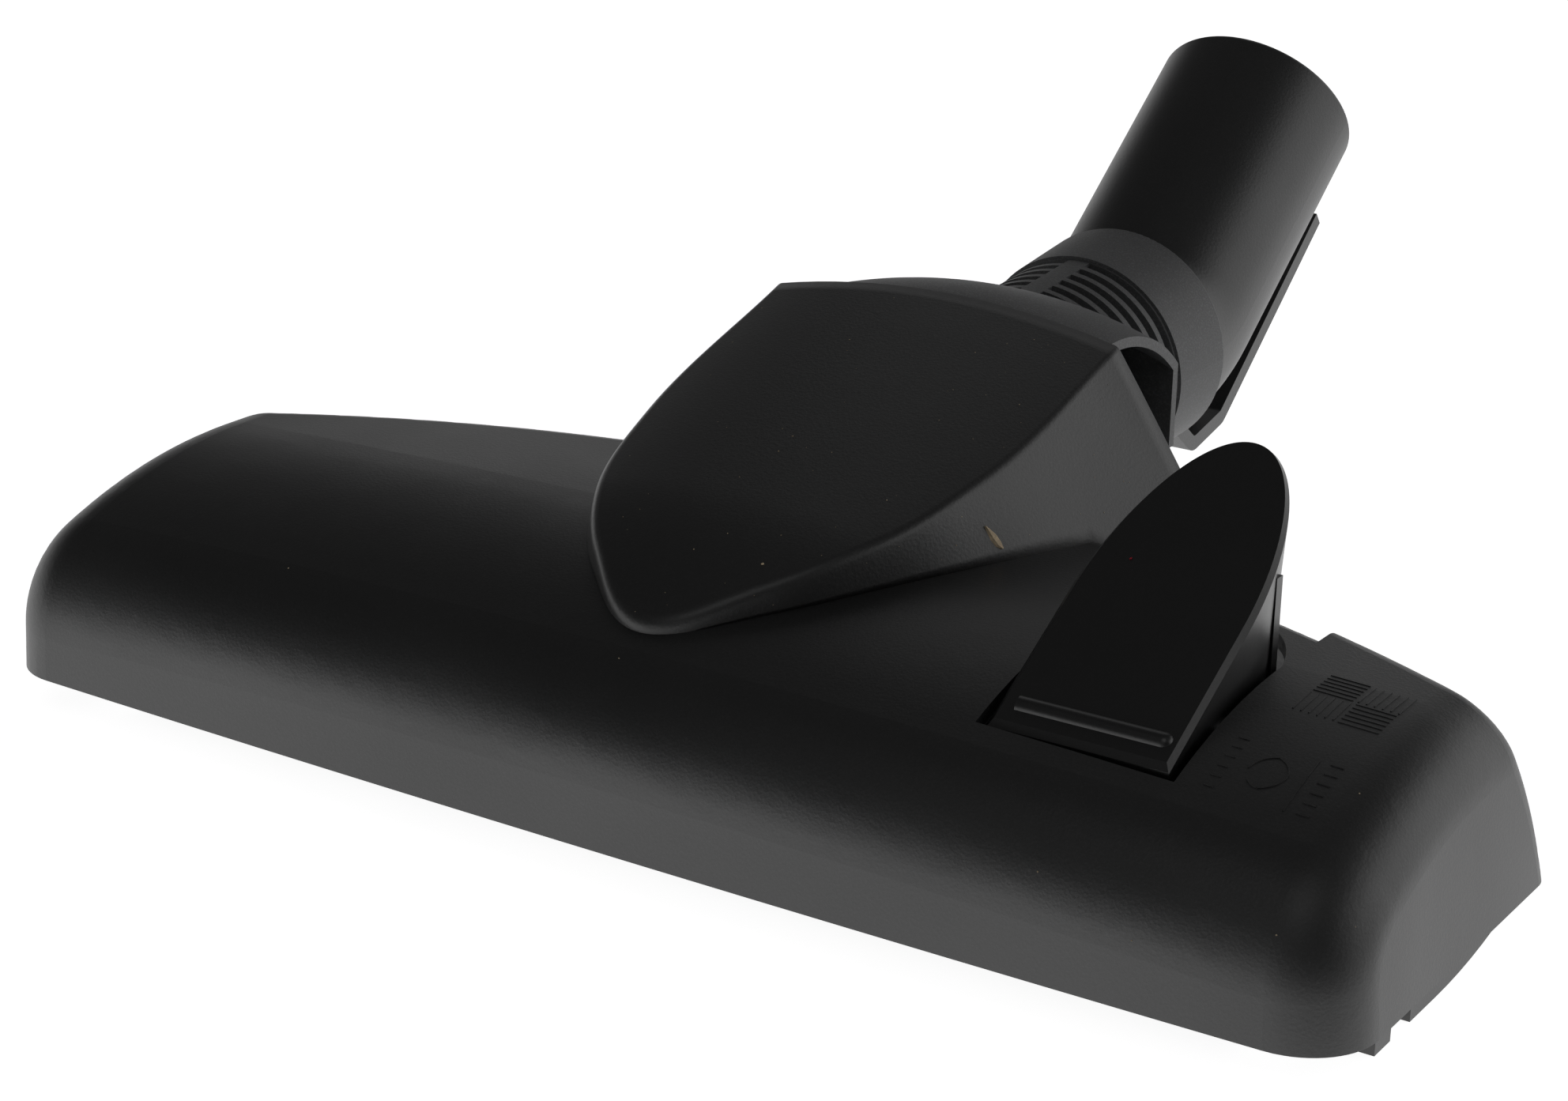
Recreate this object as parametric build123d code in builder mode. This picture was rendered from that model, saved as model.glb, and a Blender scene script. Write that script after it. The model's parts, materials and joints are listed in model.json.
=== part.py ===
from build123d import *
import os
from math import cos, hypot, radians, sin, sqrt

# Vacuum floor brush head, in millimetres.
# X runs along the hood, Y from its front edge to the tube, Z up from the floor.
# The origin is on the floor under the middle of the hood.

os.makedirs("parts", exist_ok=True)

# Clearances
running = 0.3
shaft_play = 0.04
slip = 0.1

# Hood, the domed top housing
hood_length = 250.5
hood_end_draft = 2.4
hood_wall = 2.2
hood_edge_z = 7.5
hood_front = -40.8
hood_band_top = 18.0
hood_nose_radius = 20.0
hood_top_y = 10.0
hood_top = 44.2
hood_back_radius = 900.0
hood_back_reach = 70.0
hood_front_bow = 1.2
hood_top_crown = 3.0
hood_bow_reach = 115.0
hood_crest_z = 44.0
hood_crest_y = 44.3
hood_crest_end = 11.9
hood_foot_y = 61.5
hood_foot_end = 35.7
hood_rear_bulge = 3.3
hood_end_round = 12.0
hood_rear_round = 5.0

# Tilting joint
tilt_y = 73.0
tilt_z = 31.5
drum_radius = 22.0
drum_wall = 2.4
drum_half = 29.5
trunnion_radius = 5.0
ear_inner = 31.0
ear_width = 6.0
ear_round = 9.0
cap_foot = 5.0
cap_foot_height = 5.0
apron_wall = 2.2
opening_front = 32.0
ear_front = 45.0
ear_low = 6.0
ear_corner = 2.0
apron_lap = 1.0
apron_start = 180.0
apron_arc = 88.0
seal_start = 195.0
seal_arc = 40.0
window_start = 106.0
window_arc = 60.0
seal_thickness = 2.0

# Joint cover, the wedge over the joint
cover_wall = 1.5
cover_nose = -25.0
cover_rear = 64.8
cover_rear_top = 72.5
cover_slope = 0.304
cover_bend_y = 2.0
cover_nose_dip = 7.7
cover_crown_radius = 144.5
cover_root_z = 28.0
cover_low = 39.5
cover_high = 73.5
cover_skirt_z = 34.0
cover_foot_widths = [(16.2, -14.5), (28.8, 0.0), (39.3, 22.0), (54.0, 68.0)]
cover_head_widths = [(14.5, -13.5), (20.0, 1.0), (24.6, 24.0), (31.5, 68.0)]
cover_wall_bulge = 0.5
cover_flare = Vector(0.3, 1)
cover_crease_round = 0.6
cover_nose_round = 13.0
cover_round_power = 2.0
cover_round_limit = 0.8
cover_tip = 1.0
cover_lap = 1.2
cover_stations = 15
cover_station_power = 1.5

# Rear shell that turns with the neck
shell_radius = 39.8
shell_crown = 4.4
shell_half = 29.5
shell_wall = 1.8
shell_rear_angle = 44.0
shell_front_angle = 117.0
shell_rear_y = 97.3
shell_rear_low = 42.0

# Neck and collar
neck_rise = 5.0
ring_y = 133.25
ring_z = 48.9
neck_radius = 20.5
neck_bore = 17.5
neck_length = 62.0
collar_radius = 21.6
collar_length = 17.0
collar_taper = 0.5
collar_edge_round = 0.6
groove_count = 6
groove_pitch = 3.5
groove_width = 2.1
groove_depth = 2.0
groove_start = 18.6
groove_spine = 6.0
groove_arc = 112.0

# Elbow and its swivel
tube_radius = 20.0
tube_bore = 17.5
tube_rise = 37.4
tube_length = 51.75
socket_depth = 38.0
tube_edge_round = 0.7
elbow_bore = 16.9
bend_radius = 22.0
swivel_gap = 0.7
spigot_radius = 18.9
spigot_length = 13.5
ring_groove_at = 8.0
ring_groove_width = 3.0
ring_groove_depth = 1.2
seal_groove_at = 3.4
seal_groove_width = 2.0

# Parking hook
hook_half = 8.0
hook_thickness = 3.0
hook_web = 3.0
hook_line = [(137.5, 34.2), (150.5, 24.3), (162.8, 27.0), (203.0, 59.6)]
hook_bend = 3.0

# Pedal
pedal_x = 75.5
pedal_width = 29.6
pedal_front_y = -23.1
pedal_front_z = 37.3
pedal_angle = 30.5
pedal_straight = 27.0
pedal_length = 62.6
pedal_lean = 8.5
pedal_plate = 2.4
round_share = 0.585
pedal_wall = 2.0
pedal_foot_z = 32.0
pedal_pivot_back = 15.0
pedal_pivot_drop = 9.5
pedal_edge_round = 0.8
pedal_axle_radius = 2.0
bead_radius = 1.6
bead_back = 4.4
bead_inset = 3.0
cam_web = 2.0
cam_reach = 17.8
recess_depth = 2.4
recess_gap = 1.4
recess_front_gap = 1.2
pedal_travel = 18.0
slot_gap_side = 1.05
cheek = 2.2
cheek_low_z = 31.5
cheek_half = 7.0

# Brush set
frame_end_gap = 14.0
frame_low = 11.2
frame_high = 18.2
tie_low = 15.0
tie_width = 6.0
tie_inner = 45.0
tie_end_gap = 20.0
front_rail = (-30.0, -23.2)
rear_rail = (8.6, 21.2)
bristle_end_gap = 21.0
bristle_base = 1.5
bristle_base_half = 2.2
tuft_radius = 1.7
tuft_count = 24
bristle_tip_z = 2.6
front_bristle_y = -26.6
rear_bristle_y = 12.0
lip_y = 19.0
lip_half = 0.8
lip_lift = 1.0
post_half = 4.5
post_depth = 6.5
cam_gap = 0.8
guide_radius = 2.2
guide_y = -12.0

# Sole plate
sole_thickness = 2.4
sole_flat_front = -19.0
sole_flat_rear = 3.0
sole_rear = 44.0
sole_rear_z = 8.0
sole_gap = 0.4
sole_end_wall = 2.0
sole_lap = 1.5
sole_tab_front = -19.0
corner_lift_angle = 20.0
corner_turn = 33.0
corner_lift_y = -33.5
channel_front = -13.5
channel_rear = -6.5
channel_roof_z = 6.0
mouth_half = 34.0
slot_gap = 1.0
lifter_inner = 42.0
lifter_end_gap = 23.0
lifter_depth = 0.9
lifter_rear = -2.2
lifter_width = 3.2
boss_radius = 3.2
boss_end_gaps = [(28.0, -19.5), (25.0, 25.0)]
screw_radius = 1.4
screw_head_radius = 2.6
screw_head = 1.2
screw_length = 9.0

# Rear wheels
wheel_radius = 10.0
wheel_width = 7.0
wheel_y = 70.0
wheel_axle_radius = 2.5
wheel_edge = 0.8
wheel_side_gap = 0.5
axle_head = 1.5
axle_head_radius = 4.0

# Springs
leaf = 0.6
lift_half = 10.0
lift_front = 0.0
lift_depth = 5.0
detent_half = 5.0
detent_height = 9.0
detent_drop = 2.0
detent_rib = 2.2

# Values worked out from the sizes above
hood_half = hood_length / 2
frame_half = hood_half - frame_end_gap
bristle_half = hood_half - bristle_end_gap
tie_at = (tie_inner, hood_half - tie_end_gap)
lifter_at = (lifter_inner + hood_half - lifter_end_gap) / 2
lifter_half = (hood_half - lifter_end_gap - lifter_inner) / 2
boss_places = [(hood_half - gap, y) for gap, y in boss_end_gaps]
tilt_point = (0, tilt_y, tilt_z)
neck_dir = Vector(0, cos(radians(neck_rise)), sin(radians(neck_rise)))
neck_up = Vector(0, -sin(radians(neck_rise)), cos(radians(neck_rise)))
ring_point = Vector(0, ring_y, ring_z)
tube_dir = Vector(0, cos(radians(tube_rise)), sin(radians(tube_rise)))
tube_up = Vector(0, -sin(radians(tube_rise)), cos(radians(tube_rise)))
elbow_start = ring_point + neck_dir * swivel_gap
bend_centre = elbow_start + neck_up * bend_radius
tube_start = bend_centre - tube_up * bend_radius
rim_point = tube_start + tube_dir * tube_length
pedal_dir = Vector(0, cos(radians(pedal_angle)), sin(radians(pedal_angle)))
pedal_up = Vector(0, -sin(radians(pedal_angle)), cos(radians(pedal_angle)))
pedal_front_point = Vector(pedal_x, pedal_front_y, pedal_front_z)
pivot = pedal_front_point + pedal_dir * pedal_pivot_back - pedal_up * pedal_pivot_drop
recess_left = pedal_x - pedal_width / 2 - recess_front_gap
recess_right = pedal_x + pedal_width / 2 + recess_gap
recess_front = pedal_front_y - recess_front_gap
ear_outer = ear_inner + ear_width
apron_radius = drum_radius + running + seal_thickness + slip
channel_top = channel_roof_z + sole_thickness


def save(piece, name):
    """Label a finished piece and write it."""
    piece.part.label = name
    export_step(piece.part, f"parts/{name}.step")


def hood_section(inset, low):
    """Dome section, lofted along the hood so that its front bows and its top is crowned."""
    front = hood_front + inset
    top = hood_top - inset
    nose = hood_nose_radius - inset
    reach = hood_top_y - front - nose
    rise = top - hood_band_top
    dome = (reach**2 + rise**2 - nose**2) / (2 * (rise - nose))
    span = hypot(reach, dome - rise)
    tangent_point = (
        front + nose - nose * reach / span,
        hood_band_top + nose * (dome - rise) / span,
    )
    back_drop = hood_back_reach**2 / (2 * hood_back_radius)
    with BuildPart() as section:
        for x in (-hood_half - hood_wall, 0, hood_half + hood_wall):
            bend = (x / hood_bow_reach) ** 2
            place = (x, hood_front_bow * bend, -hood_top_crown * bend)
            with BuildSketch(Plane(place, x_dir=(0, 1, 0), z_dir=(1, 0, 0))):
                with BuildLine():
                    band = Line((front, low - hood_band_top), (front, hood_band_top))
                    curve = TangentArc(band @ 1, tangent_point, tangent=(0, 1))
                    roof = TangentArc(curve @ 1, (hood_top_y, top), tangent=curve % 1)
                    back_end = (hood_top_y + hood_back_reach, top - back_drop)
                    back = TangentArc(roof @ 1, back_end, tangent=(1, 0))
                    Polyline(back @ 1, (back_end[0], low - hood_band_top), band @ 0)
                make_face()
        loft()
    return section.part


def hood_half_at(z):
    """Half length of the hood at a height, with its drafted ends."""
    share = (z - hood_edge_z) / (hood_crest_z - hood_edge_z)
    return hood_half + hood_end_draft * (0.5 - share)


def on_end(edge, inset):
    """Whether an edge lies in one of the hood's end faces."""
    point = edge.center()
    return abs(abs(point.X) - hood_half_at(point.Z) + inset) < slip


def hood_form(inset, low):
    """Closed form of the hood, set in by a wall."""
    slope = (hood_foot_y - hood_crest_y) / (hood_crest_z - hood_edge_z)
    back = inset * sqrt(1 + slope**2)
    section = hood_section(inset, low)
    with BuildPart() as plan:
        for z in (low, (hood_edge_z + hood_crest_z) / 2, hood_top + hood_wall):
            share = (z - hood_edge_z) / (hood_crest_z - hood_edge_z)
            bulge = 4 * hood_rear_bulge * share * (1 - share) - back
            middle = hood_foot_y + (hood_crest_y - hood_foot_y) * share + bulge
            end = hood_foot_end + (hood_crest_end - hood_foot_end) * share + bulge
            half = hood_half_at(z) - inset
            with BuildSketch(Plane.XY.offset(z)):
                with BuildLine():
                    arc = ThreePointArc((-half, end), (0, middle), (half, end))
                    Polyline(arc @ 1, (half, 2 * hood_front), (-half, 2 * hood_front), arc @ 0)
                make_face()
        loft()
    with BuildPart() as form:
        add(section)
        add(plan.part, mode=Mode.INTERSECT)
        ends = form.edges().filter_by(lambda e: on_end(e, inset))
        upright = ends.filter_by(lambda e: e.center().Z > low + hood_wall / 2)
        rim = upright.sort_by(Axis.Y)[:-2]
        fillet(rim, hood_end_round - inset)
        corners = form.edges().filter_by(lambda e: on_end(e, inset))
        fillet(corners.sort_by(Axis.Y)[-2:], hood_rear_round - inset)
    return form.part


def pedal_outline(width, straight, length):
    """Tongue outline: straight sides and a half-elliptic tip, from its front edge."""
    half = width / 2
    with BuildLine() as tongue:
        Polyline((-half, straight), (-half, 0), (half, 0), (half, straight))
        for side in (-half, half):
            shoulder = straight + round_share * (length - straight)
            Bezier((side, straight), (side, shoulder), (round_share * side, length), (0, length))
    make_face(tongue.edges())


def ridge_z(y):
    """Height of the wedge's ridge: a straight slope that dips to the nose."""
    ahead = max(cover_bend_y - y, 0) / (cover_bend_y - cover_nose)
    return cover_rear_top - (cover_rear - y) * cover_slope - cover_nose_dip * ahead ** 2


def cover_walls(inset):
    """Flared body of the wedge, with walls taller than its top."""
    reach = (cover_root_z - cover_low) / (cover_high - cover_low)
    pairs = list(zip(cover_foot_widths, cover_head_widths))
    root_widths = [(f[0] + (h[0] - f[0]) * reach, f[1] + (h[1] - f[1]) * reach) for f, h in pairs]
    middle_widths = [
        ((r[0] + h[0]) / 2 + cover_wall_bulge, (r[1] + h[1]) / 2)
        for r, h in zip(root_widths, cover_head_widths)
    ]
    middle_z = (cover_root_z + cover_high) / 2
    levels = ((cover_root_z, root_widths), (middle_z, middle_widths), (cover_high, cover_head_widths))
    with BuildPart() as walls:
        for z, widths in levels:
            nose = (0, cover_nose + inset)
            right = [(x - inset, y + (inset if y < 0 else 0)) for x, y in widths]
            left = [(-x, y) for x, y in right]
            with BuildSketch(Plane.XY.offset(z)):
                with BuildLine():
                    starboard = Spline(nose, *right, tangents=[(1, 0), cover_flare])
                    port = Spline(nose, *left, tangents=[(-1, 0), (-cover_flare.X, cover_flare.Y)])
                    Line(starboard @ 1, port @ 1)
                make_face()
        loft()
    return walls.part


def wall_half(walls, y, z):
    """Half width between the wedge's walls at one place."""
    hits = walls.find_intersection_points(Axis((0, y, z), (1, 0, 0)))
    return max(point.X for point, _ in hits)


def crown_drop(half):
    """How far the crowned top falls from its ridge."""
    return cover_crown_radius - sqrt(cover_crown_radius ** 2 - half ** 2)


def cover_form(inset):
    """Wedge form: walls under a crowned top, with a crease that softens towards the nose."""
    walls = cover_walls(inset)
    tip = cover_nose + inset + cover_tip
    length = cover_rear + cover_lap - tip
    foot_z = cover_root_z + cover_lap
    with BuildPart() as form:
        for station in range(cover_stations):
            share = station / (cover_stations - 1)
            y = tip + share ** cover_station_power * length
            top_z = ridge_z(y) - inset
            edge_z = top_z - crown_drop(wall_half(walls, y, top_z))
            middle_z = (edge_z + foot_z) / 2
            edge, middle, foot = (wall_half(walls, y, z) for z in (edge_z, middle_z, foot_z))
            growth = cover_nose_round * ((cover_rear - y) / (cover_rear - cover_nose)) ** cover_round_power
            corner = min(cover_crease_round + max(growth - inset, 0), cover_round_limit * edge)
            with BuildSketch(Plane.XZ.offset(-y)) as section:
                with BuildLine():
                    ThreePointArc((foot, foot_z), (middle, middle_z), (edge, edge_z))
                    ThreePointArc((edge, edge_z), (0, top_z), (-edge, edge_z))
                    ThreePointArc((-edge, edge_z), (-middle, middle_z), (-foot, foot_z))
                    Line((-foot, foot_z), (foot, foot_z))
                make_face()
                fillet(section.vertices().group_by(Axis.Y)[-1], corner)
        loft()
    return form.part


def pressed(y, z):
    """Place of a point of the pedal at the end of its travel."""
    turn = radians(pedal_travel)
    run = y - pivot.Y
    rise = z - pivot.Z
    return (pivot.Y + run * cos(turn) + rise * sin(turn), pivot.Z - run * sin(turn) + rise * cos(turn))


def at_floor(plane_z, places, radius, height, mode=Mode.ADD):
    """Upright round pins, all starting at one height."""
    with BuildSketch(Plane.XY.offset(plane_z)) as pins:
        with Locations(*places):
            Circle(radius)
    extrude(pins.sketch, amount=height, mode=mode)


def block(x, y, z, mode=Mode.ADD):
    """Box between two values along each direction."""
    with Locations(((x[0] + x[1]) / 2, (y[0] + y[1]) / 2, (z[0] + z[1]) / 2)):
        Box(x[1] - x[0], y[1] - y[0], z[1] - z[0], mode=mode)


def sole_bottom(y):
    """Height of the sole's underside on its flat and its rising back."""
    heel_radius = ((sole_rear - sole_flat_rear) ** 2 + sole_rear_z**2) / (2 * sole_rear_z)
    run = max(y - sole_flat_rear, 0)
    return heel_radius - sqrt(heel_radius**2 - run**2)


boss_spots = [(side * x, y) for side in (-1, 1) for x, y in boss_places]

# Sole plate: a ski at the front, flat lands beside the suction channel, rising to the back
channel_y = (channel_front + channel_rear) / 2
channel_width = channel_rear - channel_front
slot_half = bristle_half + slot_gap
sole_half = hood_half - hood_wall - sole_gap
turn = radians(corner_turn)
dip = radians(corner_lift_angle)
inward = Vector(-sin(turn) * cos(dip), cos(turn) * cos(dip), -sin(dip))
corner_plane = Plane(
    (sole_half, corner_lift_y, hood_edge_z),
    x_dir=(cos(turn), sin(turn), 0),
    z_dir=Vector(cos(turn), sin(turn), 0).cross(inward),
)
with BuildPart() as corner_lift:
    with BuildSketch(corner_plane):
        Rectangle(hood_half, hood_half)
    extrude(amount=-hood_half)
    block((0, 2 * hood_half), (-2 * hood_half, sole_tab_front), (-hood_half, hood_half), Mode.INTERSECT)
    mirror(about=Plane.YZ)

with BuildPart() as sole_blank:
    with BuildSketch(Plane.YZ):
        with BuildLine():
            front = (hood_front + hood_wall + sole_gap, hood_edge_z + sole_gap)
            lift = Vector(0, sole_thickness)
            flat = Line((sole_flat_front, 0), (sole_flat_rear, 0))
            ski = TangentArc(flat @ 0, front, tangent=(-1, 0))
            heel = TangentArc(flat @ 1, (sole_rear, sole_rear_z), tangent=(1, 0))
            upper = Line(flat @ 0 + lift, flat @ 1 + lift)
            TangentArc(upper @ 0, ski @ 1 + lift, tangent=(-1, 0))
            TangentArc(upper @ 1, heel @ 1 + lift, tangent=(1, 0))
            Line(ski @ 1, ski @ 1 + lift)
            Line(heel @ 1, heel @ 1 + lift)
        make_face()
        with Locations((channel_y, channel_top / 2)):
            Rectangle(channel_width + 2 * sole_thickness, channel_top)
        with Locations((channel_y, 0)):
            Rectangle(channel_width, 2 * channel_roof_z, mode=Mode.SUBTRACT)
    extrude(amount=sole_half, both=True)
    with BuildSketch():
        with Locations((0, channel_y)):
            Rectangle(2 * mouth_half, channel_width)
        with Locations((0, front_bristle_y), (0, rear_bristle_y)):
            Rectangle(2 * slot_half, 2 * (bristle_base_half + slot_gap))
        with Locations((0, lip_y)):
            Rectangle(2 * slot_half, 2 * (lip_half + slot_gap))
    extrude(amount=2 * channel_top, both=True, mode=Mode.SUBTRACT)
    with BuildSketch():
        with Locations(*[(side * lifter_at, lifter_rear - lifter_width / 2) for side in (-1, 1)]):
            Rectangle(2 * lifter_half, lifter_width)
    extrude(amount=lifter_depth, mode=Mode.SUBTRACT)
    for side in (-1, 1):
        with BuildSketch(Plane.YZ.offset(side * (sole_half - sole_end_wall))):
            with BuildLine():
                land = Line((sole_tab_front, 0), (sole_flat_rear, 0))
                rise = TangentArc(land @ 1, (sole_rear, sole_rear_z), tangent=(1, 0))
                wall_top = hood_edge_z + sole_lap
                Polyline(rise @ 1, (sole_rear, wall_top), (sole_tab_front, wall_top), land @ 0)
            make_face()
            with Locations((channel_y, 0)):
                Rectangle(channel_width, 2 * channel_roof_z, mode=Mode.SUBTRACT)
        extrude(amount=side * sole_end_wall)
    add(hood_form(hood_wall + sole_gap, -hood_edge_z), mode=Mode.INTERSECT)
    add(corner_lift.part, mode=Mode.SUBTRACT)

with BuildPart() as sole_plate:
    add(sole_blank.part)
    at_floor(0, boss_spots, screw_radius + slip, channel_top, mode=Mode.SUBTRACT)
    for x, y in boss_spots:
        sink = sole_bottom(y) - screw_head
        at_floor(sink, [(x, y)], screw_head_radius + slip, 2 * screw_head, Mode.SUBTRACT)
save(sole_plate, "sole_plate")

# Hood: shell, pedal recess, inner ribs, and the ears and apron that carry the joint
hood_outer = hood_form(0, hood_edge_z)
hood_cavity = hood_form(hood_wall, -hood_edge_z)
hood_middle = hood_form(hood_wall / 2, -hood_edge_z)
recess_drop = Location((0, 0, -recess_depth))
recess_x = (recess_left, recess_right)
recess_y = (recess_front, hood_foot_y)
recess_z = (cheek_low_z, 2 * hood_top)

with BuildPart() as recess:
    block(recess_x, recess_y, recess_z)
    add(hood_outer, mode=Mode.INTERSECT)
    add(hood_outer.moved(recess_drop), mode=Mode.SUBTRACT)

with BuildPart() as recess_floor:
    block(
        (recess_left - hood_wall, recess_right + hood_wall),
        (recess_front - hood_wall, hood_foot_y),
        recess_z,
    )
    add(hood_cavity, mode=Mode.INTERSECT)
    add(hood_cavity.moved(recess_drop), mode=Mode.SUBTRACT)

with BuildPart() as inner_ribs:
    for x, y in boss_spots:
        at_floor(sole_bottom(y) + sole_thickness / 2, [(x, y)], boss_radius, 2 * hood_top)
    guide_spots = [(side * tie_at[1], guide_y) for side in (-1, 1)]
    at_floor(channel_top + running, guide_spots, guide_radius, 2 * hood_top)
    cheek_y = (pivot.Y - cheek_half, pivot.Y + cheek_half)
    block((recess_left - cheek, recess_left), cheek_y, recess_z)
    block((recess_right, recess_right + cheek), cheek_y, recess_z)
    detent_y = (recess_front - leaf - detent_rib - slip, recess_front - leaf - slip)
    detent_x = (pedal_x - detent_half, pedal_x + detent_half)
    detent_low = pedal_foot_z - detent_drop - detent_height
    block(detent_x, detent_y, (detent_low, 2 * hood_top))
    add(hood_middle, mode=Mode.INTERSECT)
    add(sole_blank.part, mode=Mode.SUBTRACT)
    at_floor(0, boss_spots, screw_radius + shaft_play, screw_length + channel_top, Mode.SUBTRACT)

with BuildPart() as hood:
    add(hood_outer)
    add(recess.part, mode=Mode.SUBTRACT)
    add(hood_cavity, mode=Mode.SUBTRACT)
    add(recess_floor.part)
    floor_z = hood_top - hood_top_crown / 2 - recess_depth
    tip = pedal_front_point + pedal_dir * pedal_length
    low_y, low_z = pressed(tip.Y - pedal_lean, pedal_foot_z)
    high_y, high_z = pressed(tip.Y, tip.Z)
    slot_end = low_y + (high_y - low_y) * (floor_z - low_z) / (high_z - low_z)
    slot_length = slot_end + slot_gap_side - recess_front
    slot_straight = pedal_straight * pedal_dir.Y + recess_front_gap
    with BuildSketch(Plane((pedal_x, recess_front, pedal_foot_z - detent_height))):
        pedal_outline(pedal_width + 2 * slot_gap_side, slot_straight, slot_length)
    extrude(amount=hood_top, mode=Mode.SUBTRACT)
    add(inner_ribs.part)
    block((-ear_inner, ear_inner), (opening_front, 2 * hood_foot_y), (-hood_top, 2 * hood_top), Mode.SUBTRACT)
    for side in (-1, 1):
        with BuildSketch(Plane.YZ.offset(side * (ear_inner + ear_width / 2))):
            ear_back = tilt_y + ear_round + cap_foot
            with BuildLine():
                FilletPolyline(
                    (ear_front, tilt_z),
                    (ear_front, hood_edge_z),
                    (wheel_y - ear_round, ear_low),
                    (wheel_y + ear_width, ear_low),
                    (ear_back, tilt_z - cap_foot_height),
                    (ear_back, tilt_z),
                    radius=ear_corner,
                    close=True,
                )
            make_face()
            with Locations((tilt_y, tilt_z)):
                Circle(trunnion_radius + shaft_play, mode=Mode.SUBTRACT)
            with Locations((wheel_y, wheel_radius)):
                Circle(wheel_axle_radius + shaft_play, mode=Mode.SUBTRACT)
        extrude(amount=ear_width / 2, both=True)
    with BuildSketch(Plane.YZ):
        with BuildLine():
            inner = CenterArc((tilt_y, tilt_z), apron_radius, apron_start, apron_arc)
            outer = CenterArc((tilt_y, tilt_z), apron_radius + apron_wall, apron_start, apron_arc)
            Line(inner @ 0, outer @ 0)
            Line(inner @ 1, outer @ 1)
        make_face()
    extrude(amount=ear_inner + apron_lap, both=True)
    with BuildSketch(Plane.YZ.offset(recess_left - 2 * cheek)):
        with Locations((pivot.Y, pivot.Z)):
            Circle(pedal_axle_radius + shaft_play)
    extrude(amount=pedal_width + 6 * cheek, mode=Mode.SUBTRACT)
    cap_spots = [
        (side * (ear_inner + ear_width / 2), tilt_y + way * (ear_round + cap_foot / 2))
        for side in (-1, 1)
        for way in (-1, 1)
    ]
    at_floor(tilt_z - screw_length, cap_spots, screw_radius + shaft_play, 2 * screw_length, Mode.SUBTRACT)
save(hood, "hood")

# Joint cover, trimmed to sit on the dome and left open at its back
with BuildPart() as joint_cover:
    add(cover_form(0))
    add(cover_form(cover_wall), mode=Mode.SUBTRACT)
    add(hood_outer, mode=Mode.SUBTRACT)
    across = (-hood_half, hood_half)
    block(across, (-hood_half, hood_half), (-hood_half, cover_skirt_z), Mode.SUBTRACT)
    block(across, (cover_rear, 4 * cover_rear), (-hood_half, hood_half), Mode.SUBTRACT)
save(joint_cover, "joint_cover")

# Bearing caps over the drum's pins, and the screws that hold them
for side, name in ((-1, "bearing_cap_left"), (1, "bearing_cap_right")):
    with BuildPart() as bearing_cap:
        with BuildSketch(Plane.YZ.offset(side * (ear_inner + ear_width / 2))):
            with Locations((tilt_y, tilt_z)):
                Circle(ear_round)
            with Locations((tilt_y, tilt_z + cap_foot_height / 2)):
                Rectangle(2 * (ear_round + cap_foot), cap_foot_height)
            with Locations((tilt_y, tilt_z - ear_round / 2)):
                Rectangle(2 * ear_round, ear_round, mode=Mode.SUBTRACT)
            with Locations((tilt_y, tilt_z)):
                Circle(trunnion_radius + shaft_play, mode=Mode.SUBTRACT)
        extrude(amount=ear_width / 2, both=True)
        own_spots = [spot for spot in cap_spots if spot[0] * side > 0]
        at_floor(tilt_z, own_spots, screw_radius + slip, screw_length, Mode.SUBTRACT)
    save(bearing_cap, name)

with BuildPart() as cap_screws:
    cap_top = tilt_z + cap_foot_height
    at_floor(cap_top - screw_length, cap_spots, screw_radius, screw_length)
    at_floor(cap_top, cap_spots, screw_head_radius - slip, screw_head)
save(cap_screws, "cap_screws")

with BuildPart() as sole_screws:
    for x, y in boss_spots:
        at_floor(sole_bottom(y), [(x, y)], screw_head_radius, screw_head)
        at_floor(sole_bottom(y) + screw_head, [(x, y)], screw_radius, screw_length - screw_head)
save(sole_screws, "sole_screws")

# Felt strip in the apron, in front of and below the drum
with BuildPart() as drum_seal:
    with BuildSketch(Plane.YZ):
        with BuildLine():
            inner = CenterArc((tilt_y, tilt_z), drum_radius + running, seal_start, seal_arc)
            outer = CenterArc((tilt_y, tilt_z), apron_radius - slip, seal_start, seal_arc)
            Line(inner @ 0, outer @ 0)
            Line(inner @ 1, outer @ 1)
        make_face()
    extrude(amount=drum_half, both=True)
save(drum_seal, "drum_seal")

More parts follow.
